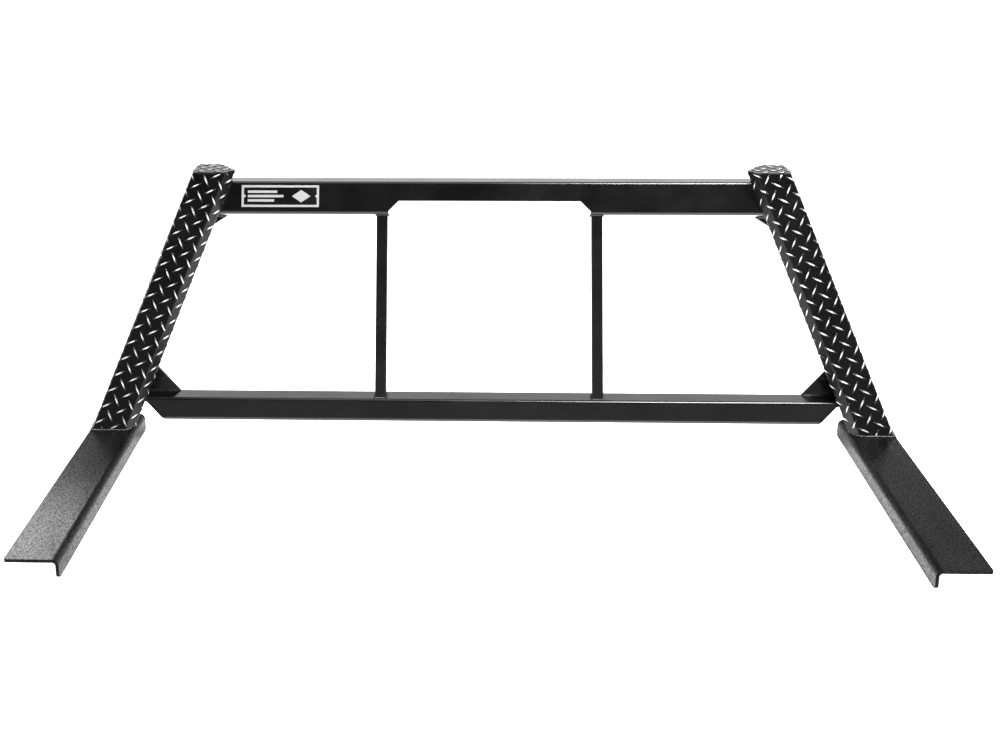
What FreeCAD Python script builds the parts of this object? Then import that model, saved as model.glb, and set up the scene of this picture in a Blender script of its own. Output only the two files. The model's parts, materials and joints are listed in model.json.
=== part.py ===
import FreeCAD, Part
import math
import os

# A pickup truck's headache rack: two folded tread-plate posts on bed-rail feet, joined by
# two formed channels, with two window bars, corner gussets and a name plate.
# X is across the truck, +Y is towards the cab, +Z is up. Millimetres.

Vector = FreeCAD.Vector
INCH = 25.4

# Driving dimensions
OVERALL_WIDTH = 70 * INCH
LEAN = 20.0                      # degrees from vertical, top towards the cab
POST_HEIGHT = 21.5 * INCH        # vertical, foot plate to cap top
POST_TOP_HALF_WIDTH = 26.35 * INCH
FOOT_AHEAD = 24 * INCH           # foot length on the bed side of the post
FOOT_BEHIND = 4 * INCH
WINDOW_BAR_HALF_SPACING = 9.55 * INCH

# Feet: bent angle
FOOT_WIDTH = 4 * INCH
FOOT_FLANGE = 1.5 * INCH
FOOT_THICKNESS = 0.25 * INCH
FOOT_BEND_RADIUS = 13.0
PLATE_CORNER_RADIUS = 5.0
FLANGE_CORNER_RADIUS = 10.0

# Posts: horizontal section of the right one, outboard +, towards the cab +
POST_INSET = 3.5
POST_FRONT = 75.0
POST_STRIP = (19.0, 25.0)
POST_BACK_WIDTH = 50.0
POST_DEPTH = 91.0
POST_OUTER_FOLD = (3.4, 37.0)
SHEET = 0.125 * INCH
POST_BEND_RADIUS = 6.0
CAP_THICKNESS = 0.125 * INCH

# Rails: heights are measured up the leaning front plane from the foot plate
RAIL_SETBACK = 30.0
RAIL_DEPTH = 2 * INCH
RAIL_BEND_RADIUS = 6.5
BOTTOM_RAIL = (12.0, 62.8)
BOTTOM_RAIL_CLIP_HALF_WIDTH = 728.0
TOP_RAIL = (480.0, 553.0)
TOP_RAIL_TOP_DEPTH = 1.75 * INCH

# Notch for the high brake light
NOTCH_TOP_HALF_WIDTH = 205.0
NOTCH_HALF_WIDTH = 228.0
NOTCH_HEIGHT = 30.0
NOTCH_CORNER_RADIUS = 3.0

# Window bars
BAR_SIZE = 1 * INCH
BAR_WALL = 0.125 * INCH
BAR_CORNER_RADIUS = 2.5
BAR_INNER_RADIUS = 0.6
BAR_SETBACK = RAIL_BEND_RADIUS

# Gussets
GUSSET_THICKNESS = 0.25 * INCH
LOWER_GUSSET_START = 700.0
UPPER_GUSSET_START = 602.0
UPPER_GUSSET_SLOPE = 0.65

# Name plate
BADGE_SIZE = (7 * INCH, 2 * INCH)
BADGE_CENTRE_X = -474.0
BADGE_RISE = 3.5                 # above the middle of the top rail
BADGE_THICKNESS = 1.5
BADGE_CORNER_RADIUS = 2.0
RIVET_RADIUS = 2.6
RIVET_HEIGHT = 1.4
RIVET_EDGE_DISTANCE = 6.5

# Weld fillets
WELD = 3.5
BASE_WELD = 4.5

# Allowances: how far a trimming shape reaches past what it trims
CLEAR = 20.0
FAR = 1000.0

# Worked-out places
HALF_WIDTH = OVERALL_WIDTH / 2
LEAN_TAN = math.tan(math.radians(LEAN))
LEAN_SIN = math.sin(math.radians(LEAN))
LEAN_COS = math.cos(math.radians(LEAN))
PLATE_TOP = FOOT_FLANGE
POST_Y = (FOOT_AHEAD - LEAN_TAN * POST_HEIGHT - POST_DEPTH) / 2
POST_FOOT_X = HALF_WIDTH - POST_INSET
POST_SLOPE = (POST_FOOT_X - POST_TOP_HALF_WIDTH) / POST_HEIGHT
BAR_START = BOTTOM_RAIL[1] - 2 * CLEAR      # inside the bottom rail, before its level cut
GUSSET_BACK = RAIL_DEPTH - GUSSET_THICKNESS
RIGHT = 1
LEFT = -1


def unit(a, b):
    length = math.hypot(b[0] - a[0], b[1] - a[1])
    return (b[0] - a[0]) / length, (b[1] - a[1]) / length


def turn(a, b, c):
    """Signed angle that a path a-b-c turns by, positive to the left."""
    (ux, uy), (vx, vy) = unit(a, b), unit(b, c)
    return math.atan2(ux * vy - uy * vx, ux * vx + uy * vy)


def shifted_path(points, distance):
    """The open path moved sideways, positive to the left, with mitred corners."""
    moved = []
    for i, (x, y) in enumerate(points):
        before = unit(points[max(i - 1, 0)], points[max(i, 1)])
        after = unit(points[min(i, len(points) - 2)], points[min(i + 1, len(points) - 1)])
        nx, ny = -before[1] - after[1], before[0] + after[0]
        scale = 2 * distance / (nx * nx + ny * ny)
        moved.append((x + nx * scale, y + ny * scale))
    return moved


def rounded_edges(points, radius, place, closed=False, sharp=()):
    """Edges along the points, with an arc of the given radius at each corner that isn't sharp."""
    count = len(points)
    corners = [i for i in (range(count) if closed else range(1, count - 1)) if i not in sharp]
    spots = {i: (points[i], points[i]) for i in range(count)}
    edges = []
    for i in corners:
        a, b, c = points[i - 1], points[i], points[(i + 1) % count]
        angle = turn(a, b, c)
        reach = radius * math.tan(abs(angle) / 2)
        (ux, uy), (vx, vy) = unit(a, b), unit(b, c)
        start = (b[0] - ux * reach, b[1] - uy * reach)
        end = (b[0] + vx * reach, b[1] + vy * reach)
        mx, my = (vx - ux) / 2, (vy - uy) / 2
        size = math.hypot(mx, my)
        inward = radius / math.cos(angle / 2) - radius
        middle = (b[0] + mx / size * inward, b[1] + my / size * inward)
        edges.append(Part.Arc(place(*start), place(*middle), place(*end)).toShape())
        spots[i] = (start, end)
    for i in range(count if closed else count - 1):
        start, end = spots[i][1], spots[(i + 1) % count][0]
        edges.append(Part.LineSegment(place(*start), place(*end)).toShape())
    return edges


def face_of(edges):
    return Part.Face(Part.Wire(Part.__sortEdges__(edges)))


def sheet_face(path, thickness, radius, place):
    """Section of a sheet bent along the path, which is its outer side."""
    inward = math.copysign(thickness, turn(*path[:3]))
    inner = shifted_path(path, inward)
    edges = rounded_edges(path, radius, place)
    edges += rounded_edges(inner, radius - thickness, place)
    for a, b in ((path[0], inner[0]), (path[-1], inner[-1])):
        edges.append(Part.LineSegment(place(*a), place(*b)).toShape())
    return face_of(edges)


def outline_face(points, radius, place, sharp=()):
    return face_of(rounded_edges(points, radius, place, closed=True, sharp=sharp))


def mirrored(shape):
    return shape.mirror(Vector(0, 0, 0), Vector(1, 0, 0))


def fillet_edges_at(shape, radius, spots):
    """Rounds the short edges whose middle lies at one of the spots."""
    edges = [e for e in shape.Edges if any((e.CenterOfMass - s).Length < 0.5 for s in spots)]
    return shape.makeFillet(radius, edges)


def on_frame(x, up, back=0.0):
    """A point on the leaning front plane of the rails, or level behind it."""
    return Vector(x, POST_Y + RAIL_SETBACK + up * LEAN_SIN + back, PLATE_TOP + up * LEAN_COS)


def frame_normal(length):
    """Square to the rails' front plane, towards the cab."""
    return Vector(0, length * LEAN_COS, -length * LEAN_SIN)


def in_section(y, z):
    """Places a point of a rail's section, measured from the frame plane's foot."""
    return Vector(0, POST_Y + RAIL_SETBACK + y, PLATE_TOP + z)


# ---- posts ----

def post_section():
    """Outer corners of the right post, from its back round the front to its back."""
    strip_width, strip_depth = POST_STRIP
    return [
        (0.0, POST_DEPTH),
        POST_OUTER_FOLD,
        (0.0, 0.0),
        (-POST_FRONT, 0.0),
        (-POST_FRONT - strip_width, strip_depth),
        (-POST_BACK_WIDTH, POST_DEPTH),
    ]


def post_place(height):
    """Placer for section points of the right post at a height above the foot plate."""
    x = POST_FOOT_X - POST_SLOPE * height
    y = POST_Y + LEAN_TAN * height
    return lambda dx, dy: Vector(x + dx, y + dy, PLATE_TOP + height)


def post_run(height):
    return Vector(-POST_SLOPE * height, LEAN_TAN * height, height)


def post_outline(height, grown=0.0):
    """Outer face of the right post's section, with its folds rounded and its back corners sharp."""
    section = post_section()
    back_corners = (0, len(section) - 1)
    closed = section[-1:] + section + section[:1]
    section = shifted_path(closed, grown)[1:-1]
    return outline_face(section, POST_BEND_RADIUS + grown, post_place(height), sharp=back_corners)


def post_envelope(grown=0.0):
    """The solid that the right post fills, longer at both ends, for trimming."""
    return post_outline(-CLEAR, grown).extrude(post_run(POST_HEIGHT + 2 * CLEAR))


def post_shell():
    back = POST_DEPTH - SHEET
    path = post_section()
    first, last = unit(path[1], path[0]), unit(path[-2], path[-1])
    path[0] = (path[0][0] + first[0] * CLEAR, path[0][1] + first[1] * CLEAR)
    path[-1] = (path[-1][0] + last[0] * CLEAR, path[-1][1] + last[1] * CLEAR)
    bent = sheet_face(path, SHEET, POST_BEND_RADIUS, post_place(0))
    keep = Part.makePolygon([post_place(0)(x, y) for x, y in
                             ((-FAR, -FAR), (FAR, -FAR), (FAR, back), (-FAR, back), (-FAR, -FAR))])
    face = bent.common(Part.Face(keep))
    return face.extrude(post_run(POST_HEIGHT - CAP_THICKNESS))


def post_back_plate():
    section = post_section()
    back = POST_DEPTH - SHEET
    corners = []
    for near, far in ((section[-2], section[-1]), (section[1], section[0])):
        t = (back - near[1]) / (far[1] - near[1])
        at_back = (near[0] + (far[0] - near[0]) * t, back)
        corners += [at_back, far] if not corners else [far, at_back]
    wire = Part.makePolygon([post_place(0)(*p) for p in corners + corners[:1]])
    return Part.Face(wire).extrude(post_run(POST_HEIGHT - CAP_THICKNESS))


def post_cap():
    return post_outline(POST_HEIGHT - CAP_THICKNESS).extrude(Vector(0, 0, CAP_THICKNESS))


# ---- feet ----

def foot_angle():
    outer, inner = HALF_WIDTH, HALF_WIDTH - FOOT_WIDTH
    front, back = POST_Y - FOOT_AHEAD, POST_Y + FOOT_BEHIND
    path = [(outer, PLATE_TOP), (inner, PLATE_TOP), (inner, 0.0)]
    face = sheet_face(path, FOOT_THICKNESS, FOOT_BEND_RADIUS, lambda x, z: Vector(x, front, z))
    angle = face.extrude(Vector(0, back - front, 0))
    plate_mid = PLATE_TOP - FOOT_THICKNESS / 2
    flange_mid = inner + FOOT_THICKNESS / 2
    angle = fillet_edges_at(angle, PLATE_CORNER_RADIUS,
                            [Vector(outer, y, plate_mid) for y in (front, back)])
    return fillet_edges_at(angle, FLANGE_CORNER_RADIUS,
                           [Vector(flange_mid, y, 0) for y in (front, back)])


# ---- rails ----

def trimmed_to_posts(shape):
    envelope = post_envelope()
    return shape.cut(envelope).cut(mirrored(envelope))


def bottom_rail_path():
    low, high = BOTTOM_RAIL
    return [
        (high * LEAN_SIN + RAIL_DEPTH, high * LEAN_COS),
        (high * LEAN_SIN, high * LEAN_COS),
        (low * LEAN_SIN, low * LEAN_COS),
        (low * LEAN_SIN + RAIL_DEPTH, low * LEAN_COS),
    ]


def top_rail_path():
    low, high = TOP_RAIL
    return [
        (high * LEAN_SIN + TOP_RAIL_TOP_DEPTH, high * LEAN_COS),
        (high * LEAN_SIN, high * LEAN_COS),
        (low * LEAN_SIN, low * LEAN_COS),
        (low * LEAN_SIN + RAIL_DEPTH * LEAN_COS, low * LEAN_COS - RAIL_DEPTH * LEAN_SIN),
    ]


def inside_post_x(up):
    """A half width that ends a rail inside the post, before it is trimmed."""
    return POST_FOOT_X - POST_SLOPE * up * LEAN_COS - POST_BACK_WIDTH / 2


def full_length(face, half_length):
    face.translate(Vector(-half_length, 0, 0))
    return face.extrude(Vector(2 * half_length, 0, 0))


def bottom_rail_clip(side):
    """The 45 degree corner taken off the bottom rail's lower end."""
    low = BOTTOM_RAIL[0] - CLEAR
    start = BOTTOM_RAIL_CLIP_HALF_WIDTH - CLEAR
    run = POST_FOOT_X - start
    corners = [(start, low), (start + run, low), (start + run, low + run)]
    points = [on_frame(side * x, up, -2 * CLEAR) for x, up in corners]
    return Part.Face(Part.makePolygon(points + points[:1])).extrude(Vector(0, RAIL_DEPTH + 4 * CLEAR, 0))


def bottom_rail():
    face = sheet_face(bottom_rail_path(), SHEET, RAIL_BEND_RADIUS, in_section)
    rail = full_length(face, inside_post_x(BOTTOM_RAIL[1]))
    return trimmed_to_posts(rail).cut(bottom_rail_clip(LEFT)).cut(bottom_rail_clip(RIGHT))


def brake_light_notch():
    low = TOP_RAIL[0]
    high = low + NOTCH_HEIGHT
    slope = NOTCH_HALF_WIDTH - NOTCH_TOP_HALF_WIDTH
    start = low - 2 * CLEAR
    right = [(NOTCH_HALF_WIDTH, start), (NOTCH_HALF_WIDTH, high - slope), (NOTCH_TOP_HALF_WIDTH, high)]
    outline = right + [(-x, up) for x, up in reversed(right)]
    back_off = frame_normal(-CLEAR)
    face = outline_face(outline, NOTCH_CORNER_RADIUS, lambda x, up: on_frame(x, up) + back_off)
    through_web = face.extrude(frame_normal(CLEAR + RAIL_BEND_RADIUS + 1))
    below = [(NOTCH_HALF_WIDTH, start), (NOTCH_HALF_WIDTH, low + SHEET)]
    flange = below + [(-x, up) for x, up in reversed(below)]
    wire = Part.makePolygon([on_frame(x, up) + back_off for x, up in flange + flange[:1]])
    return through_web.fuse(Part.Face(wire).extrude(frame_normal(RAIL_DEPTH + 2 * CLEAR)))


def top_rail():
    face = sheet_face(top_rail_path(), SHEET, RAIL_BEND_RADIUS, in_section)
    rail = full_length(face, inside_post_x(TOP_RAIL[1]))
    return trimmed_to_posts(rail).cut(brake_light_notch())


# ---- window bars ----

def bar_outline(grown=0.0):
    half = BAR_SIZE / 2 + grown
    return [(-half, -grown), (half, -grown), (half, BAR_SIZE + grown), (-half, BAR_SIZE + grown)]


def bar_solid(side, outline, radius, start, end):
    """A bar of the given outline, square to the frame plane, between two heights up it."""
    x = side * WINDOW_BAR_HALF_SPACING
    base = on_frame(x, start) + frame_normal(BAR_SETBACK)
    face = outline_face(outline, radius,
                        lambda dx, deep: base + Vector(dx, 0, 0) + frame_normal(deep))
    return face.extrude(Vector(0, LEAN_SIN, LEAN_COS) * (end - start))


def above_bottom_rail(shape, height=FAR):
    """The part of a shape within a level slab that stands on the bottom rail."""
    z = PLATE_TOP + BOTTOM_RAIL[1] * LEAN_COS
    slab = Part.makeBox(2 * FAR, 2 * FAR, height, Vector(-FAR, -FAR, z))
    return shape.common(slab)


def window_bar(side):
    outer = bar_solid(side, bar_outline(), BAR_CORNER_RADIUS, BAR_START, TOP_RAIL[0])
    inner = bar_solid(side, bar_outline(-BAR_WALL), BAR_INNER_RADIUS, BAR_START, TOP_RAIL[0])
    return above_bottom_rail(outer.cut(inner))


# ---- gussets ----

def inboard_of_post(shape):
    """Trims a shape to the right post and keeps the piece on the window side."""
    return min(shape.cut(post_envelope()).Solids, key=lambda solid: solid.BoundBox.XMin)


def lower_gusset():
    reach = POST_FOOT_X - LOWER_GUSSET_START
    corners = [(0, 0), (reach, 0), (reach, reach)]
    points = [on_frame(LOWER_GUSSET_START + x, BOTTOM_RAIL[1] + up, GUSSET_BACK) for x, up in corners]
    plate = Part.Face(Part.makePolygon(points + points[:1])).extrude(Vector(0, GUSSET_THICKNESS, 0))
    return inboard_of_post(plate)


def upper_gusset():
    reach = POST_TOP_HALF_WIDTH + CLEAR - UPPER_GUSSET_START
    corners = [(0, 0), (reach, 0), (reach, -reach * UPPER_GUSSET_SLOPE)]
    shift = frame_normal(GUSSET_BACK)
    points = [on_frame(UPPER_GUSSET_START + x, TOP_RAIL[0] + up) + shift for x, up in corners]
    plate = Part.Face(Part.makePolygon(points + points[:1])).extrude(frame_normal(GUSSET_THICKNESS))
    return inboard_of_post(plate)


# ---- name plate ----

def on_badge(x, up, proud=0.0):
    middle = sum(TOP_RAIL) / 2 + BADGE_RISE
    return on_frame(BADGE_CENTRE_X + x, middle + up) + frame_normal(-proud)


def badge_plate():
    w, h = BADGE_SIZE[0] / 2, BADGE_SIZE[1] / 2
    corners = [(-w, -h), (w, -h), (w, h), (-w, h)]
    face = outline_face(corners, BADGE_CORNER_RADIUS, on_badge)
    return face.extrude(frame_normal(-BADGE_THICKNESS))


def badge_rivets():
    x = BADGE_SIZE[0] / 2 - RIVET_EDGE_DISTANCE
    seats = [on_badge(side * x, 0, BADGE_THICKNESS) for side in (LEFT, RIGHT)]
    return Part.makeCompound([
        Part.makeCylinder(RIVET_RADIUS, RIVET_HEIGHT, seat, frame_normal(-1)) for seat in seats])


# ---- welds ----

def post_base_weld():
    """A fillet round the foot of the post, where it stands on the flat of the foot plate."""
    low = post_outline(0, BASE_WELD).OuterWire
    high = post_outline(BASE_WELD, BASE_WELD / 10).OuterWire
    bead = Part.makeLoft([low, high], True, True).cut(post_envelope())
    flat_start = HALF_WIDTH - FOOT_WIDTH + FOOT_BEND_RADIUS
    flat = Part.makeBox(HALF_WIDTH - flat_start, 2 * FAR, FAR, Vector(flat_start, -FAR, PLATE_TOP))
    return bead.common(flat)


def rail_end_welds(path, half_length):
    """Fillets where a rail's outer side meets both posts."""
    outer = shifted_path(path, -WELD)
    jacket = full_length(sheet_face(outer, WELD, RAIL_BEND_RADIUS + WELD, in_section), half_length)
    near = post_envelope(grown=WELD)
    beads = []
    for side_of in (lambda s: s, mirrored):
        beads += jacket.common(side_of(near)).cut(side_of(post_envelope())).Solids
    return Part.makeCompound(beads)


def window_bar_welds():
    beads = []
    for side in (LEFT, RIGHT):
        grown, radius = bar_outline(WELD), BAR_CORNER_RADIUS + WELD
        bar = bar_solid(side, bar_outline(), BAR_CORNER_RADIUS, BAR_START, TOP_RAIL[0])
        foot = above_bottom_rail(bar_solid(side, grown, radius, BAR_START, TOP_RAIL[0]), WELD)
        head = bar_solid(side, grown, radius, TOP_RAIL[0] - WELD, TOP_RAIL[0])
        beads += [foot.cut(bar), head.cut(bar)]
    return Part.makeCompound(beads)


def gusset_welds():
    """Fillets along each lower gusset's foot and each upper gusset's head."""
    foot = on_frame(LOWER_GUSSET_START + 2 * WELD, BOTTOM_RAIL[1], GUSSET_BACK)
    head = on_frame(UPPER_GUSSET_START + 2 * WELD, TOP_RAIL[0]) + frame_normal(GUSSET_BACK)
    up_frame = Vector(0, LEAN_SIN, LEAN_COS) * WELD
    beads = []
    ends = ((foot, Vector(0, -WELD, 0), up_frame), (head, frame_normal(-WELD), -up_frame))
    for start, ahead, along in ends:
        face = Part.Face(Part.makePolygon([start, start + ahead, start + along, start]))
        bead = inboard_of_post(face.extrude(Vector(POST_FOOT_X - LOWER_GUSSET_START, 0, 0)))
        beads += [bead, mirrored(bead)]
    return Part.makeCompound(beads)


def top_rail_end_welds():
    """Fillets at the top rail's ends, stopped where the upper gussets are welded."""
    beads = rail_end_welds(top_rail_path(), inside_post_x(TOP_RAIL[1]))
    gusset = upper_gusset()
    return beads.cut(gusset).cut(mirrored(gusset)).cut(gusset_welds())


def bottom_rail_end_welds():
    beads = rail_end_welds(bottom_rail_path(), inside_post_x(BOTTOM_RAIL[1]))
    return beads.cut(bottom_rail_clip(LEFT)).cut(bottom_rail_clip(RIGHT))


def parts():
    """Every node's name and shape."""
    made = {
        "top_rail_channel": top_rail(),
        "bottom_rail_channel": bottom_rail(),
        "left_window_bar": window_bar(LEFT),
        "right_window_bar": window_bar(RIGHT),
        "badge_plate": badge_plate(),
        "badge_rivets": badge_rivets(),
        "top_rail_end_welds": top_rail_end_welds(),
        "bottom_rail_end_welds": bottom_rail_end_welds(),
        "window_bar_welds": window_bar_welds(),
        "gusset_welds": gusset_welds(),
    }
    pairs = {
        "foot_angle": foot_angle,
        "post_shell": post_shell,
        "post_back_plate": post_back_plate,
        "post_cap": post_cap,
        "lower_gusset": lower_gusset,
        "upper_gusset": upper_gusset,
        "post_base_weld": post_base_weld,
    }
    for name, make in pairs.items():
        right = make()
        made["right_" + name] = right
        made["left_" + name] = mirrored(right)
    return made


os.makedirs("parts", exist_ok=True)
for name, shape in parts().items():
    shape.exportStep(f"parts/{name}.step")
    box = shape.BoundBox
    print(f"{name}: {len(shape.Solids)} solids, {shape.Volume / 1000:.1f} cm3, valid {shape.isValid()},",
          f"x {box.XMin:.1f}..{box.XMax:.1f}",
          f"y {box.YMin:.1f}..{box.YMax:.1f}",
          f"z {box.ZMin:.1f}..{box.ZMax:.1f}")
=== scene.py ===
import json
import math

import bmesh
import bpy
from mathutils import Matrix, Vector


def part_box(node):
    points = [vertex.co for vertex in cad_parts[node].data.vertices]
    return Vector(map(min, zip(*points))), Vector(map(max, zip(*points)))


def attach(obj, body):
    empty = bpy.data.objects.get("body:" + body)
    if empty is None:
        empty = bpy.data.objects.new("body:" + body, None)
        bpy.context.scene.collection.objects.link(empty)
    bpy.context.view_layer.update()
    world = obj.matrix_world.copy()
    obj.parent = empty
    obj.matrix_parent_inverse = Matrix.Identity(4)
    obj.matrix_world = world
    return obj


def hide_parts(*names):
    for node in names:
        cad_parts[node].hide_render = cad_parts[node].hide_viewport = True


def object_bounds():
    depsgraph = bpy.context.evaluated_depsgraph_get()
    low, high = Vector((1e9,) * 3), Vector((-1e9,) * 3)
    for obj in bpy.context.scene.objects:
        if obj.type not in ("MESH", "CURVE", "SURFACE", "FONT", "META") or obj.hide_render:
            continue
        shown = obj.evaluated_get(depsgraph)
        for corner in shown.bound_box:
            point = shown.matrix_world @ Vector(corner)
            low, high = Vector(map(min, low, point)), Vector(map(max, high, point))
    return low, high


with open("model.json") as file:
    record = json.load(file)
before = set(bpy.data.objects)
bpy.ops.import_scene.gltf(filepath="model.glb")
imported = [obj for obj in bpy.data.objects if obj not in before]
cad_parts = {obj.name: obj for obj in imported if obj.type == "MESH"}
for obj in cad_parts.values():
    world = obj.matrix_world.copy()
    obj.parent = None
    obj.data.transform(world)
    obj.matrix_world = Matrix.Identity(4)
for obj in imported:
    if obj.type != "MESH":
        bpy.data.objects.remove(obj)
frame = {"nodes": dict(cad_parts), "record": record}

# A pickup truck's headache rack: folded tread-plate posts on bent feet, formed rails, window
# bars, gussets and a name plate. Metres; X across, +Y towards the cab, +Z up.
# The tread lugs, weld beads and name-plate relief are made here; the rest is the frame's own.

CAD_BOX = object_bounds()
MM = 0.001

# Driving dimensions shared with the frame
LEAN = math.radians(20)
POST_TOP_HALF_WIDTH = 26.35 * 25.4 * MM
POST_OUTER_FOLD = (3.4 * MM, 37 * MM)
POST_FRONT = 75 * MM
POST_STRIP = (19 * MM, 25 * MM)
POST_BACK_WIDTH = 50 * MM
POST_DEPTH = 91 * MM
POST_BEND_RADIUS = 6 * MM
RAIL_SETBACK = 30 * MM
TOP_RAIL_UNDERSIDE = 480 * MM
BAR_SIZE = 25.4 * MM
BAR_SETBACK = 6.5 * MM

# Tread pattern: lugs stand at 45 degrees to the sheet, turned the other way in every next column
LUG_LENGTH = 32 * MM
LUG_WIDTH = 5.4 * MM
LUG_HEIGHT = 1.5 * MM
LUG_SINK = 0.4 * MM              # how far a lug's foot reaches into the sheet
COLUMN_STEP = 17.8 * MM
ROW_STEP = 18.95 * MM
LUG_TAPER = 0.35                 # share of its width a lug has lost at its tips
LUG_DOME = 0.8                   # under 1 fills a lug's crest out
EDGE_GAP = 0.8 * MM              # lugs are sheared off this far inside a sheet's edge
# Each sheet's own cut from the stock: first column, first row, turn and which way column 0 leans
POST_CUTS = {
    "right": (1.1 * MM, 17.7 * MM, 0.031, -1),
    "left": (8.8 * MM, 24.9 * MM, 0.0135, 1),
}
CAP_CUT = (4 * MM, 7 * MM, 0.06, 1)

# Weld beads
BEAD_RADIUS = 3.2 * MM
BASE_BEAD_RADIUS = 4.2 * MM
RIPPLE_STEP = 2.4 * MM
RIPPLE_DEPTH = 0.16
RINGS_PER_RIPPLE = 4
BEAD_TIP = (0.45, 0.3)           # radius of a bead's end and how far it stands out, in bead radii

# Name plate relief
RELIEF_HEIGHT = 0.5 * MM
BORDER_INSET = 0.8 * MM
BORDER_WIDTH = 5 * MM
BAR_SHARES = (0.38, 0.46, 0.34)  # lengths of the plain bars, in plate widths
BARS_START = 0.42                # how far left of the middle they begin, in plate widths
BAR_HEIGHT = 5.5 * MM
BAR_STEP = 10 * MM
LOZENGE_SIDE = 20 * MM
LOZENGE_STRETCH = 1.5
LOZENGE_PLACE = 0.27             # right of the middle, in plate widths
RELIEF_EDGE = 0.15 * MM
RIVET_DOME = 0.55                # height of a rivet's head, in radii

# Finishes
COAT_IOR = 1.5
BRIGHT_METAL = (0.36, 0.36, 0.36)

# Studio: sine of the cove's upper edge and its light, on the camera's side and behind the rack
COVE_EDGES = (0.33, 0.395)
COVE_LIGHT = (0.65, 1.5)
CEILING_LIGHT = 0.03
COVE_FADE = 0.04

# Camera
LENS = 51.26
SHIFT = (0.0817, -0.1241)
CAMERA_PLACE = (-0.0382, -2.7699, 1.2556)
CAMERA_PITCH, CAMERA_YAW, CAMERA_ROLL = (math.radians(a) for a in (15.354, -2.249, -0.364))

# Worked-out places
SIN, COS, TAN = math.sin(LEAN), math.cos(LEAN), math.tan(LEAN)
RIGHT_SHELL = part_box("right_post_shell")
FOOT_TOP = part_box("right_foot_angle")[1].z
RACK_TOP = CAD_BOX[1].z
POST_FRONT_Y = RIGHT_SHELL[0].y
POST_FOOT_X = RIGHT_SHELL[1].x - POST_OUTER_FOLD[0]
POST_SLOPE = (POST_FOOT_X - POST_TOP_HALF_WIDTH) / (RACK_TOP - FOOT_TOP)
POST_FOOT = Vector((POST_FOOT_X, POST_FRONT_Y, FOOT_TOP))
POST_RUN = Vector((-POST_SLOPE, TAN, 1.0))
POST_AXIS = POST_RUN.normalized()


def on_web(x, up, out=0.0):
    """A point on the rails' leaning front plane, up it from the foot plates and out towards the bed."""
    y = POST_FRONT_Y + RAIL_SETBACK + up * SIN - out * COS
    return Vector((x, y, FOOT_TOP + up * COS + out * SIN))


# ---------------------------------------------------------------- pieces


def finish_piece(bm, name, material, smooth=True, replaces=()):
    """Makes the bmesh a piece of the rack, riding on its one body."""
    bmesh.ops.recalc_face_normals(bm, faces=bm.faces)
    mesh = bpy.data.meshes.new(name)
    bm.to_mesh(mesh)
    bm.free()
    for face in mesh.polygons:
        face.use_smooth = smooth
    mesh.materials.append(material)
    piece = bpy.data.objects.new(name, mesh)
    bpy.context.scene.collection.objects.link(piece)
    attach(piece, "root")
    if replaces:
        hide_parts(*replaces)


# ---------------------------------------------------------------- tread plate


def lug_template():
    """One pointed lug lying along X, its crest rounded and its foot closed."""
    bm = bmesh.new()
    bmesh.ops.create_uvsphere(bm, u_segments=10, v_segments=8, radius=1.0)
    bmesh.ops.rotate(bm, verts=bm.verts, matrix=Matrix.Rotation(math.pi / 2, 3, "Y"))
    foot = bmesh.ops.bisect_plane(
        bm, geom=bm.verts[:] + bm.edges[:] + bm.faces[:], dist=1e-4,
        plane_co=(0, 0, 0), plane_no=(0, 0, -1), clear_outer=True
    )
    rim = [e for e in foot["geom_cut"] if isinstance(e, bmesh.types.BMEdge)]
    bmesh.ops.holes_fill(bm, edges=rim)
    for vert in bm.verts:
        shoulder = 1.0 - LUG_TAPER * vert.co.x ** 2
        vert.co.x *= LUG_LENGTH / 2
        vert.co.y *= LUG_WIDTH / 2 * shoulder
        vert.co.z = max(vert.co.z, 0) ** LUG_DOME * (LUG_HEIGHT + LUG_SINK) - LUG_SINK
    mesh = bpy.data.meshes.new("lug_template")
    bm.to_mesh(mesh)
    bm.free()
    return mesh


def lay_lugs(template, low, high, cut):
    """A flat sheet of lugs over the rectangle low to high, as cut from the stock."""
    first_column, first_row, turn, lean = cut
    bm = bmesh.new()
    reach = (high - low).length
    columns = range(-int(reach / COLUMN_STEP), int(reach / COLUMN_STEP) + 1)
    rows = range(-int(reach / ROW_STEP), int(reach / ROW_STEP) + 1)
    for column in columns:
        for row in rows:
            if (column + row) % 2:
                continue
            across = first_column + column * COLUMN_STEP
            along = first_row + row * ROW_STEP
            centre = Vector((across + turn * along, along - turn * across, 0))
            half = LUG_LENGTH / 2
            if not (low.x - half < centre.x < high.x + half and low.y - half < centre.y < high.y + half):
                continue
            side = lean if column % 2 == 0 else -lean
            angle = math.pi / 2 - side * math.pi / 4 - turn
            template.transform(Matrix.Translation(centre) @ Matrix.Rotation(angle, 4, "Z"))
            bm.from_mesh(template)
            template.transform((Matrix.Translation(centre) @ Matrix.Rotation(angle, 4, "Z")).inverted())
    crest = bm.verts.layers.float.new("crest")
    for vert in bm.verts:
        vert[crest] = (vert.co.z + LUG_SINK) / (LUG_HEIGHT + LUG_SINK)
    return bm


def trim(bm, point, outward):
    """Shears off what lies beyond a plane and closes the cut ends."""
    geom = bm.verts[:] + bm.edges[:] + bm.faces[:]
    cut = bmesh.ops.bisect_plane(
        bm, geom=geom, dist=1e-6, plane_co=point, plane_no=outward, clear_outer=True
    )
    rim = [e for e in cut["geom_cut"] if isinstance(e, bmesh.types.BMEdge)]
    if rim:
        bmesh.ops.holes_fill(bm, edges=rim)


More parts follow.
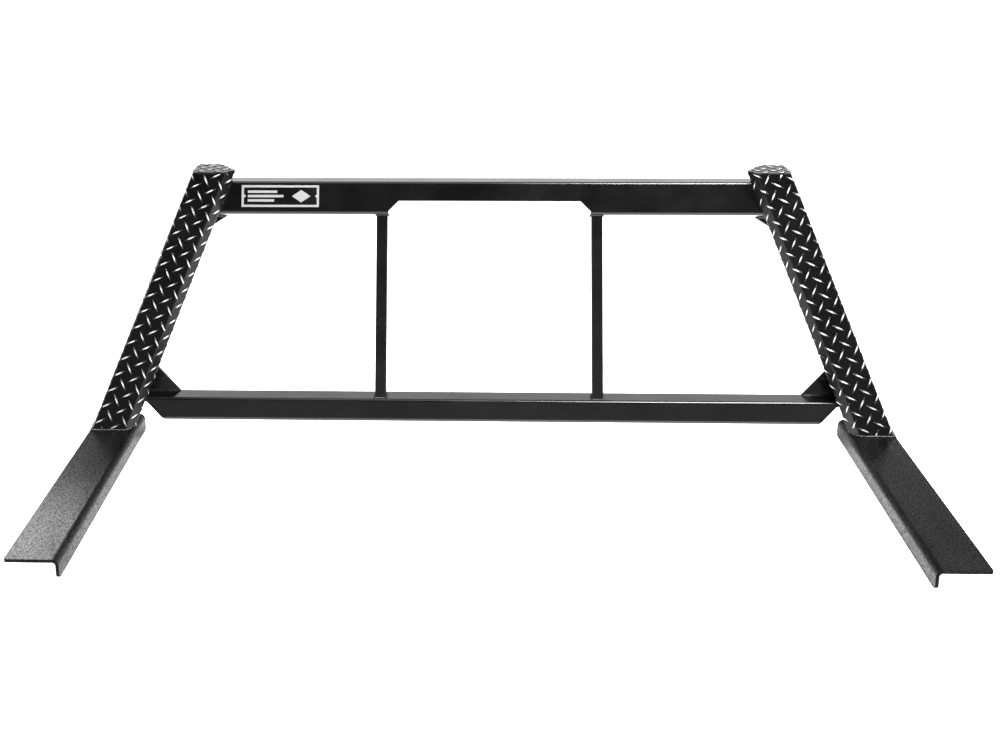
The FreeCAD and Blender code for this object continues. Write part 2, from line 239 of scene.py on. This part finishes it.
def post_corners():
    """The right post's section at its foot, from its back outer edge round to its back inner edge."""
    inner_fold = -POST_FRONT - POST_STRIP[0]
    return [
        Vector((0, POST_DEPTH, 0)),
        Vector((*POST_OUTER_FOLD, 0)),
        Vector((0, 0, 0)),
        Vector((-POST_FRONT, 0, 0)),
        Vector((inner_fold, POST_STRIP[1], 0)),
        Vector((-POST_BACK_WIDTH, POST_DEPTH, 0)),
    ]


class PostSkin:
    """The post's outer skin unrolled: s runs round it square to the folds from the front outer fold
    (inboard is plus), t runs up the folds from the foot."""

    def __init__(self):
        self.right = (Vector((1, 0, 0)) - POST_AXIS * POST_AXIS.x).normalized()
        self.back = POST_AXIS.cross(self.right)
        self.points = [Vector((p.dot(self.right), p.dot(self.back))) for p in post_corners()]
        lengths = [(b - a).length for a, b in zip(self.points, self.points[1:])]
        start = -lengths[0] - lengths[1]
        self.stations = [start + sum(lengths[:i]) for i in range(len(self.points))]

    def heading(self, i):
        return (self.points[i + 1] - self.points[i]).normalized()

    def flat(self, s, i):
        along = self.heading(i)
        outward = Vector((along.y, -along.x)) * -1
        return self.points[i] + along * (s - self.stations[i]), outward

    def place(self, s):
        """Skin point and outward normal, in the plane square to the folds."""
        last = len(self.points) - 2
        for i in range(1, last + 1):
            before, after = self.heading(i - 1), self.heading(i)
            turn = math.atan2(before.x * after.y - before.y * after.x, before.dot(after))
            reach = POST_BEND_RADIUS * abs(math.tan(turn / 2))
            off = s - self.stations[i]
            if abs(off) < reach:
                start, outward = self.flat(self.stations[i] - reach, i - 1)
                centre = start - outward * POST_BEND_RADIUS
                outward = Matrix.Rotation(turn * (off + reach) / (2 * reach), 2) @ outward
                return centre + outward * POST_BEND_RADIUS, outward
        i = max([0] + [k for k in range(last + 1) if s >= self.stations[k]])
        return self.flat(s, i)

    def wrap(self, sheet_point):
        """Where a point of the flat sheet lies once the sheet is folded round the right post."""
        skin, outward = self.place(sheet_point.x)
        skin = skin + outward * sheet_point.z
        return POST_FOOT + self.right * skin.x + self.back * skin.y + POST_AXIS * sheet_point.y


def post_lugs(side, template, material):
    skin = PostSkin()
    length = (RIGHT_SHELL[1].z - FOOT_TOP) / POST_AXIS.z
    low = Vector((skin.stations[0], -POST_DEPTH, 0))
    high = Vector((skin.stations[-1], length + POST_DEPTH, 0))
    bm = lay_lugs(template, low, high, POST_CUTS[side])
    trim(bm, (low.x + EDGE_GAP, 0, 0), (-1, 0, 0))
    trim(bm, (high.x - EDGE_GAP, 0, 0), (1, 0, 0))
    for vert in bm.verts:
        vert.co = skin.wrap(vert.co)
    trim(bm, (0, 0, FOOT_TOP + EDGE_GAP), (0, 0, -1))
    trim(bm, (0, 0, RIGHT_SHELL[1].z - EDGE_GAP), (0, 0, 1))
    if side == "left":
        bmesh.ops.scale(bm, verts=bm.verts, vec=(-1, 1, 1))
    finish_piece(bm, f"{side}_post_lugs", material)


def cap_lugs(side, template, material):
    top = RACK_TOP - FOOT_TOP
    corners = [POST_FOOT + corner + POST_RUN * top for corner in post_corners()]
    low = Vector((min(c.x for c in corners), min(c.y for c in corners), 0))
    high = Vector((max(c.x for c in corners), max(c.y for c in corners), 0))
    bm = lay_lugs(template, Vector((0, 0, 0)), high - low, CAP_CUT)
    bmesh.ops.translate(bm, verts=bm.verts, vec=(low.x, low.y, RACK_TOP))
    for a, b in zip(corners, corners[1:] + corners[:1]):
        outward = (b - a).cross(Vector((0, 0, -1))).normalized()
        if outward.dot(sum(corners, Vector()) / len(corners) - a) > 0:
            outward.negate()
        trim(bm, a - outward * EDGE_GAP, outward)
    if side == "left":
        bmesh.ops.scale(bm, verts=bm.verts, vec=(-1, 1, 1))
    finish_piece(bm, f"{side}_cap_lugs", material)


# ---------------------------------------------------------------- welds


def add_bead(bm, start, end, radius):
    """A rippled bead along a straight joint: a tube whose rings swell and pinch, closed at both ends."""
    run = end - start
    count = max(RINGS_PER_RIPPLE, round(run.length / RIPPLE_STEP) * RINGS_PER_RIPPLE)
    turn = run.to_track_quat("Z", "Y").to_matrix().to_4x4()
    centre = start - run.normalized() * radius * BEAD_TIP[1]
    ring = bmesh.ops.create_circle(bm, cap_ends=True, segments=8, radius=radius * BEAD_TIP[0])["verts"]
    bmesh.ops.transform(bm, verts=ring, matrix=Matrix.Translation(centre) @ turn)
    edges = list({e for v in ring for e in v.link_edges if all(w in ring for w in e.verts)})
    for i in range(count + 1):
        new = bmesh.ops.extrude_edge_only(bm, edges=edges)["geom"]
        ring = [g for g in new if isinstance(g, bmesh.types.BMVert)]
        edges = [g for g in new if isinstance(g, bmesh.types.BMEdge)]
        target = start + run * (i / count)
        swell = 1 - RIPPLE_DEPTH * (0.5 + 0.5 * math.cos(i * 2 * math.pi / RINGS_PER_RIPPLE))
        bmesh.ops.translate(bm, verts=ring, vec=target - centre)
        for vert in ring:
            spoke = vert.co - target
            spoke -= run * (spoke.dot(run) / run.length_squared)
            vert.co = target + spoke.normalized() * radius * swell
        centre = target
    bmesh.ops.contextual_create(bm, geom=edges)


def bar_corners(side, at):
    """A window bar's four corners, going round; at(depth) places a depth behind the web."""
    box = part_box(f"{side}_window_bar")
    near, far = at(BAR_SETBACK), at(BAR_SETBACK + BAR_SIZE)
    outline = ((box[0].x, near), (box[1].x, near), (box[1].x, far), (box[0].x, far))
    return [Vector((x, *p.yz)) for x, p in outline]


def on_rail_top(depth):
    """Depth behind the web's plane, met on the level top of the bottom rail."""
    rail_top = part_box("bottom_rail_channel")[1].z
    return on_web(0, (rail_top - FOOT_TOP) / COS) + Vector((0, depth / COS, 0))


def under_top_rail(depth):
    return on_web(0, TOP_RAIL_UNDERSIDE, -depth)


def window_bar_beads(material):
    bm = bmesh.new()
    for side in ("left", "right"):
        for at in (on_rail_top, under_top_rail):
            corners = bar_corners(side, at)
            for a, b in zip(corners, corners[1:] + corners[:1]):
                add_bead(bm, a, b, BEAD_RADIUS)
    replaced = ["window_bar_welds"]
    finish_piece(bm, "window_bar_weld_beads", material, replaces=replaced)


def base_beads(side, material):
    """The bead round a post's foot, as far inboard as the foot plate is flat."""
    flat_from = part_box("right_post_base_weld")[0].x
    corners = [POST_FOOT + c for c in post_corners()]
    corners[4] = corners[3].lerp(corners[4], (corners[3].x - flat_from) / (corners[3].x - corners[4].x))
    bm = bmesh.new()
    for a, b in zip(corners[:4], corners[1:5]):
        add_bead(bm, a, b, BASE_BEAD_RADIUS)
    if side == "left":
        bmesh.ops.scale(bm, verts=bm.verts, vec=(-1, 1, 1))
    replaced = [f"{side}_post_base_weld"]
    finish_piece(bm, f"{side}_post_base_bead", material, replaces=replaced)


# ---------------------------------------------------------------- name plate


def plate_sheet(bm, width, height, centre_x=0.0, centre_y=0.0):
    """A flat rectangle in the plate's own plane."""
    made = bmesh.ops.create_grid(bm, x_segments=1, y_segments=1, size=0.5)["verts"]
    bmesh.ops.scale(bm, verts=made, vec=(width, height, 1))
    bmesh.ops.translate(bm, verts=made, vec=(centre_x, centre_y, 0))
    return list({f for v in made for f in v.link_faces})


def badge_centre():
    low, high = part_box("badge_plate")
    return (low + high) / 2


def stand_on_badge(bm):
    """Turns what was made flat to lie on the name plate's face."""
    low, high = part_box("badge_plate")
    thick = ((high.y - low.y) - (high.z - low.z) * TAN) * COS / (COS * COS - SIN * SIN)
    stand = Matrix.Rotation(math.pi / 2 - LEAN, 4, "X")
    face = badge_centre() + Vector((0, -COS, SIN)) * thick / 2
    bmesh.ops.transform(bm, verts=bm.verts, matrix=Matrix.Translation(face) @ stand)


def badge_relief(material):
    """The border and a plain pattern of bars and a lozenge, raised and bright."""
    low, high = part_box("badge_plate")
    width = high.x - low.x - 2 * BORDER_INSET
    height = (high.z - low.z) / COS - 2 * BORDER_INSET
    bm = bmesh.new()
    border = plate_sheet(bm, width, height)
    inner = bmesh.ops.inset_region(
        bm, faces=border, thickness=BORDER_WIDTH, use_boundary=True, use_even_offset=True
    )
    bmesh.ops.delete(bm, geom=[f for f in bm.faces if f not in inner["faces"]], context="FACES")
    for i, bar in enumerate(BAR_SHARES):
        plate_sheet(bm, bar * width, BAR_HEIGHT, (bar / 2 - BARS_START) * width, (1 - i) * BAR_STEP)
    lozenge = plate_sheet(bm, LOZENGE_SIDE, LOZENGE_SIDE)
    verts = list({v for f in lozenge for v in f.verts})
    bmesh.ops.rotate(bm, verts=verts, matrix=Matrix.Rotation(math.pi / 4, 3, "Z"))
    bmesh.ops.scale(bm, verts=verts, vec=(LOZENGE_STRETCH, 1, 1))
    bmesh.ops.translate(bm, verts=verts, vec=(LOZENGE_PLACE * width, 0, 0))
    raised = bmesh.ops.extrude_face_region(bm, geom=bm.faces[:])["geom"]
    tops = [g for g in raised if isinstance(g, bmesh.types.BMVert)]
    bmesh.ops.translate(bm, verts=tops, vec=(0, 0, RELIEF_HEIGHT))
    bmesh.ops.bevel(
        bm,
        geom=[e for e in bm.edges if all(v in tops for v in e.verts) and len(e.link_faces) == 2],
        offset=RELIEF_EDGE,
        offset_type="OFFSET",
        segments=2,
        profile=0.5,
        affect="EDGES",
        material=-1,
    )
    stand_on_badge(bm)
    finish_piece(bm, "badge_relief", material, smooth=False)


def badge_rivet_heads(material):
    """Two domed rivet heads."""
    low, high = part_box("badge_rivets")
    radius = (high.z - low.z) / 2 / COS
    reach = (high.x - low.x) / 2 - radius
    bm = bmesh.new()
    for x in (-reach, reach):
        dome = bmesh.ops.create_uvsphere(bm, u_segments=20, v_segments=10, radius=radius)["verts"]
        bmesh.ops.scale(bm, verts=dome, vec=(1, 1, RIVET_DOME))
        bmesh.ops.translate(bm, verts=dome, vec=(x + (low.x + high.x) / 2 - badge_centre().x, 0, 0))
    stand_on_badge(bm)
    finish_piece(bm, "badge_rivet_heads", material, replaces=["badge_rivets"])


# ---------------------------------------------------------------- materials


class Nodes:
    """Short-hand for wiring one material's nodes."""

    def __init__(self, name):
        self.material = bpy.data.materials.new(name)
        self.material.use_nodes = True
        self.tree = self.material.node_tree
        self.shader = self.tree.nodes["Principled BSDF"]
        self.place = self.tree.nodes.new("ShaderNodeTexCoord").outputs["Object"]

    def link(self, out, into):
        self.tree.links.new(out, into)

    def noise(self, size, detail=3.0, rough=0.6, stretch=(1, 1, 1)):
        """Noise whose features are about size metres across."""
        mapping = self.tree.nodes.new("ShaderNodeMapping")
        mapping.inputs["Scale"].default_value = stretch
        self.link(self.place, mapping.inputs["Vector"])
        noise = self.tree.nodes.new("ShaderNodeTexNoise")
        noise.inputs["Scale"].default_value = 1 / size
        noise.inputs["Detail"].default_value = detail
        noise.inputs["Roughness"].default_value = rough
        self.link(mapping.outputs["Vector"], noise.inputs["Vector"])
        return noise.outputs["Fac"]

    def ramp(self, value, low, high, out_low=0.0, out_high=1.0):
        remap = self.tree.nodes.new("ShaderNodeMapRange")
        numbers = (low, high, out_low, out_high)
        for socket, number in zip(("From Min", "From Max", "To Min", "To Max"), numbers):
            remap.inputs[socket].default_value = number
        self.link(value, remap.inputs["Value"])
        return remap.outputs["Result"]

    def mix(self, factor, a, b):
        mix = self.tree.nodes.new("ShaderNodeMix")
        mix.data_type = "RGBA"
        self.link(factor, mix.inputs["Factor"])
        for socket, colour in zip(("A", "B"), (a, b)):
            into = next(s for s in mix.inputs if s.name == socket and s.type == "RGBA")
            if isinstance(colour, tuple):
                into.default_value = (*colour, 1)
            else:
                self.link(colour, into)
        return next(s for s in mix.outputs if s.type == "RGBA")

    def bump(self, value, height, under=None):
        bump = self.tree.nodes.new("ShaderNodeBump")
        bump.inputs["Distance"].default_value = height
        bump.inputs["Strength"].default_value = 1.0
        self.link(value, bump.inputs["Height"])
        if under is not None:
            self.link(under, bump.inputs["Normal"])
        return bump.outputs["Normal"]

    def set(self, **sockets):
        for name, value in sockets.items():
            socket = self.shader.inputs[name.replace("_", " ")]
            if isinstance(value, bpy.types.NodeSocket):
                self.link(value, socket)
            else:
                socket.default_value = value
        return self.material


def powder_coat(name, grain, height, gloss, haze, ior=COAT_IOR):
    """Black powder coat: a fine pebbled skin, uneven gloss, and painted highlight flecks lightening the
    pebble crowns.
    """
    n = Nodes(name)
    pebbles_and_highlight = n.noise(grain, detail=2.0)
    orange_peel = n.noise(grain * 9, detail=2.0)
    patches = n.noise(0.12, detail=4.0)
    colour = n.mix(n.ramp(patches, 0.35, 0.7), (0.002, 0.002, 0.0022), haze)
    # Painted highlight: the raised crowns of the pebbles are mixed towards a lighter grey, as if
    # catching the light
    colour = n.mix(n.ramp(pebbles_and_highlight, 0.62, 0.8, 0.0, 0.3), colour, (0.016, 0.016, 0.017))
    rough = n.ramp(patches, 0.3, 0.7, gloss - 0.05, gloss + 0.07)
    normal = n.bump(pebbles_and_highlight, height, under=n.bump(orange_peel, height * 1.5))
    return n.set(Base_Color=colour, Roughness=rough, Normal=normal, IOR=ior)


def sparkle_coat(name):
    """The feet's duller coat, coarse enough for single grains to glint."""
    n = Nodes(name)
    grains = n.noise(3.4 * MM, detail=2.0, rough=0.7)
    smudges = n.noise(0.06, detail=5.0, stretch=(1.0, 0.35, 1.0))
    colour = n.mix(n.ramp(smudges, 0.4, 0.75), (0.002, 0.002, 0.0022), (0.006, 0.006, 0.0063))
    glint = n.ramp(grains, 0.38, 0.66, 0.05, 0.9)
    rough = n.ramp(smudges, 0.3, 0.7, 0.26, 0.36)
    return n.set(
        Base_Color=colour, Roughness=rough, Specular_IOR_Level=glint,
        Normal=n.bump(grains, 0.10 * MM), IOR=1.17
    )


def bared_lug(name):
    """Black coat on a lug's flanks, sanded through to bright aluminium along its crest."""
    n = Nodes(name)
    attribute = n.tree.nodes.new("ShaderNodeAttribute")
    attribute.attribute_name = "crest"
    scratches = n.noise(1.1 * MM, detail=3.0)
    ragged = n.tree.nodes.new("ShaderNodeMath")
    ragged.operation = "ADD"
    n.link(attribute.outputs["Fac"], ragged.inputs[0])
    n.link(n.ramp(scratches, 0.3, 0.7, -0.12, 0.12), ragged.inputs[1])
    bare = n.ramp(ragged.outputs[0], 0.85, 0.91)
    colour = n.mix(bare, (0.006, 0.006, 0.0065), (0.95, 0.95, 0.95))
    rough = n.ramp(bare, 0, 1, 0.33, 0.42)
    return n.set(
        Base_Color=colour, Metallic=n.ramp(bare, 0, 1, 0, 0.5), Roughness=rough,
        Normal=n.bump(scratches, 0.06 * MM), IOR=COAT_IOR
    )


def weld_coat(name):
    """Coat over a weld: glossier than the sheet, with a fine ripple."""
    n = Nodes(name)
    ripple = n.noise(2.2 * MM, detail=1.0)
    colour = n.mix(n.ramp(ripple, 0.4, 0.8), (0.005, 0.005, 0.0055), (0.014, 0.014, 0.015))
    return n.set(
        Base_Color=colour, Roughness=n.ramp(ripple, 0.3, 0.7, 0.16, 0.26),
        Normal=n.bump(ripple, 0.25 * MM), IOR=COAT_IOR
    )


def bright_metal(name):
    """Pale brushed metal with fine scuffs."""
    n = Nodes(name)
    brushed = n.noise(1.5 * MM, detail=4.0, stretch=(0.15, 1, 1))
    colour = n.mix(n.ramp(brushed, 0.35, 0.75), BRIGHT_METAL, tuple(0.8 * c for c in BRIGHT_METAL))
    return n.set(
        Base_Color=colour, Metallic=0.2, Roughness=n.ramp(brushed, 0.3, 0.7, 0.37, 0.55),
        Normal=n.bump(brushed, 0.02 * MM)
    )


def paint_frame(materials):
    """Gives every node of the frame its finish, by the record's slots."""
    slots = {part["node"]: part["material_slot"] for part in frame["record"]["subparts"]}
    for node, thing in frame["nodes"].items():
        thing.data.materials.clear()
        thing.data.materials.append(materials[slots[node]])


# ---------------------------------------------------------------- studio

def world_light():
    """A bright cove under a dim ceiling, brighter behind the rack than on the camera's side."""
    world = bpy.data.worlds.new("studio")
    bpy.context.scene.world = world
    world.use_nodes = True
    tree = world.node_tree

    def math_node(operation, a, b):
        node = tree.nodes.new("ShaderNodeMath")
        node.operation = operation
        for socket, value in zip(node.inputs, (a, b)):
            if isinstance(value, bpy.types.NodeSocket):
                tree.links.new(value, socket)
            else:
                socket.default_value = value
        return node.outputs[0]

    def step(value, start, end, low, high):
        node = tree.nodes.new("ShaderNodeMapRange")
        node.interpolation_type = "SMOOTHSTEP"
        for socket, number in zip(("From Min", "From Max", "To Min", "To Max"), (start, end, low, high)):
            node.inputs[socket].default_value = number
        tree.links.new(value, node.inputs["Value"])
        return node.outputs["Result"]

    split = tree.nodes.new("ShaderNodeSeparateXYZ")
    tree.links.new(tree.nodes.new("ShaderNodeTexCoord").outputs["Generated"], split.inputs[0])
    behind, height = split.outputs["Y"], split.outputs["Z"]
    above_edge = math_node("SUBTRACT", height, step(behind, -1, 1, *COVE_EDGES))
    fade = step(above_edge, -COVE_FADE, COVE_FADE, 1, 0)
    cove = math_node("MULTIPLY", fade, step(behind, -1, 1, *COVE_LIGHT))
    background = tree.nodes["Background"]
    background.inputs["Color"].default_value = (1, 1, 1, 1)
    tree.links.new(math_node("ADD", cove, CEILING_LIGHT), background.inputs["Strength"])


def softbox(name, place, aim, size, power):
    light = bpy.data.lights.new(name, "AREA")
    light.shape = "RECTANGLE"
    light.size, light.size_y = size
    light.energy = power
    lamp = bpy.data.objects.new(name, light)
    bpy.context.scene.collection.objects.link(lamp)
    lamp.location = place
    lamp.visible_camera = False
    lamp.rotation_mode = "QUATERNION"
    lamp.rotation_quaternion = (Vector(aim) - Vector(place)).to_track_quat("-Z", "Y")


def studio_floor():
    bm = bmesh.new()
    bmesh.ops.create_circle(bm, cap_ends=True, segments=64, radius=30)
    mesh = bpy.data.meshes.new("studio_floor")
    bm.to_mesh(mesh)
    bm.free()
    n = Nodes("pale_floor")
    mottle = n.mix(n.noise(0.5), (0.80, 0.80, 0.80), (0.84, 0.84, 0.84))
    n.set(Base_Color=mottle, Roughness=0.9, Emission_Color=(1, 1, 1, 1), Emission_Strength=1.35)
    mesh.materials.append(n.material)
    floor = bpy.data.objects.new("studio_floor", mesh)
    bpy.context.scene.collection.objects.link(floor)


def main_camera():
    data = bpy.data.cameras.new("main_camera")
    data.sensor_width = 36
    data.lens = LENS
    data.shift_x, data.shift_y = SHIFT
    data.clip_end = 100
    camera = bpy.data.objects.new("main_camera", data)
    bpy.context.scene.collection.objects.link(camera)
    pitch, yaw, roll = CAMERA_PITCH, CAMERA_YAW, CAMERA_ROLL
    ahead = Vector((math.sin(yaw) * math.cos(pitch), math.cos(yaw) * math.cos(pitch), -math.sin(pitch)))
    right = Vector((math.cos(yaw), -math.sin(yaw), 0))
    up = right.cross(ahead)
    turned_right = right * math.cos(roll) + up * math.sin(roll)
    turned_up = up * math.cos(roll) - right * math.sin(roll)
    camera.matrix_world = Matrix.Translation(CAMERA_PLACE) @ Matrix(
        (turned_right, turned_up, -ahead)
    ).transposed().to_4x4()
    bpy.context.scene.camera = camera


def main():
    scene = bpy.context.scene
    scene.view_settings.view_transform = "Standard"
    main_camera()
    world_light()
    studio_floor()
    softbox("overhead_softbox", (0.2, 0.1, 3.4), (0.2, 0.1, 0), (3.0, 3.0), 60)
    softbox("left_foot_softbox", (-1.09, 0.31, 0.44), (-0.83, -0.45, 0.04), (0.26, 0.26), 3.6)
    softbox("right_strip", (1.1, -0.1, 2.6), (0.6, 0.3, 0.2), (2.2, 0.4), 220)

    coat = powder_coat("black_powder_coat", 1.3 * MM, 0.04 * MM, 0.20, (0.0035, 0.0035, 0.0038))
    tread = powder_coat("tread_plate_coat", 3.2 * MM, 0.28 * MM, 0.22, (0.0035, 0.0035, 0.0038), ior=1.3)
    feet = sparkle_coat("foot_textured_coat")
    bead = weld_coat("coated_weld")
    lug = bared_lug("bared_lug")
    plate_black = powder_coat("name_plate_enamel", 0.8 * MM, 0.01 * MM, 0.25, (0.003, 0.003, 0.0033))
    bright = bright_metal("bright_relief")
    paint_frame({
        "tread_plate": tread,
        "foot_coat": feet,
        "frame_coat": coat,
        "weld_coat": bead,
        "name_plate": plate_black,
        "rivet": bright,
    })

    template = lug_template()
    for side in ("left", "right"):
        post_lugs(side, template, lug)
        cap_lugs(side, template, lug)
        base_beads(side, bead)
    window_bar_beads(bead)
    badge_relief(bright)
    badge_rivet_heads(bright)


main()
